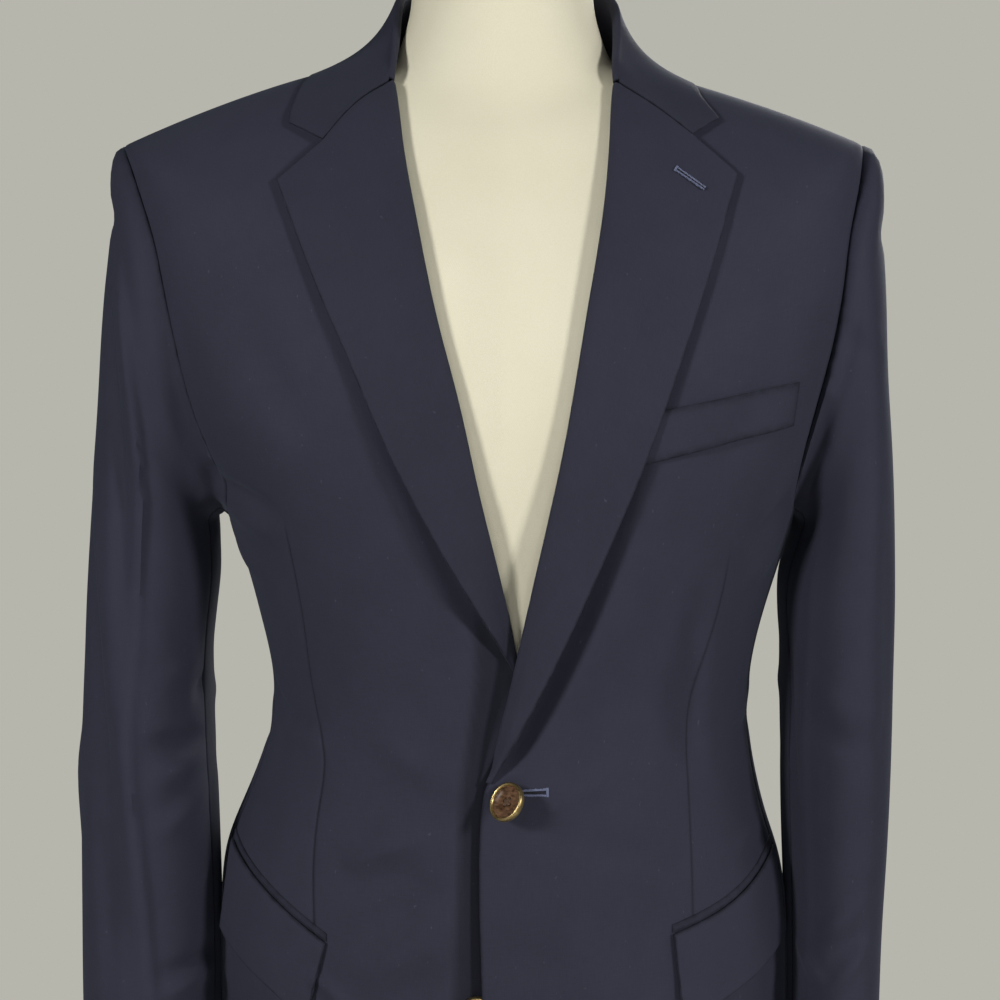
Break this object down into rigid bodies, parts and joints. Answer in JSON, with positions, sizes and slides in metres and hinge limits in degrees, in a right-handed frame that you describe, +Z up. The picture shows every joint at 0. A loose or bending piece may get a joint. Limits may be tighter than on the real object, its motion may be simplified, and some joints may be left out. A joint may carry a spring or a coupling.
{
  "type": "single breasted blazer on a dress form",
  "caption": "Tailored jacket with notched lapels, slanted flap pockets and a breast welt, fastened at the waist on a limbless torso form with a neck and a round stand.",
  "frame": {"origin": "middle of the stand's flat underside, on the surface it stands on", "axes": "+Z up, the jacket's front faces -Y, +X to the wearer's left"},
  "size_m": [0.5024, 0.33, 0.9974],
  "materials": {
    "navy_worsted": "matt navy worsted wool with a fine twill weave",
    "horn_and_brass": "brown horn-like dished button with an aged brass rim",
    "ivory_form": "ivory satin cover",
    "dark_stand_paint": "dark satin paint"
  },
  "bodies": {
    "root": {"front_left": "navy_worsted", "front_right": "navy_worsted", "side_panel_left": "navy_worsted", "side_panel_right": "navy_worsted", "back_left": "navy_worsted", "back_right": "navy_worsted", "lapel_left": "navy_worsted", "lapel_right": "navy_worsted", "collar": "navy_worsted", "top_sleeve_left": "navy_worsted", "top_sleeve_right": "navy_worsted", "under_sleeve_left": "navy_worsted", "under_sleeve_right": "navy_worsted", "breast_welt": "navy_worsted", "pocket_jet_left": "navy_worsted", "pocket_jet_right": "navy_worsted", "pocket_flap_left": "navy_worsted", "pocket_flap_right": "navy_worsted", "front_button": "horn_and_brass", "lower_button": "horn_and_brass", "form_torso": "ivory_form", "neck_cap": "ivory_form", "stand_pole": "dark_stand_paint", "stand_base": "dark_stand_paint"}
  },
  "joints": []
}
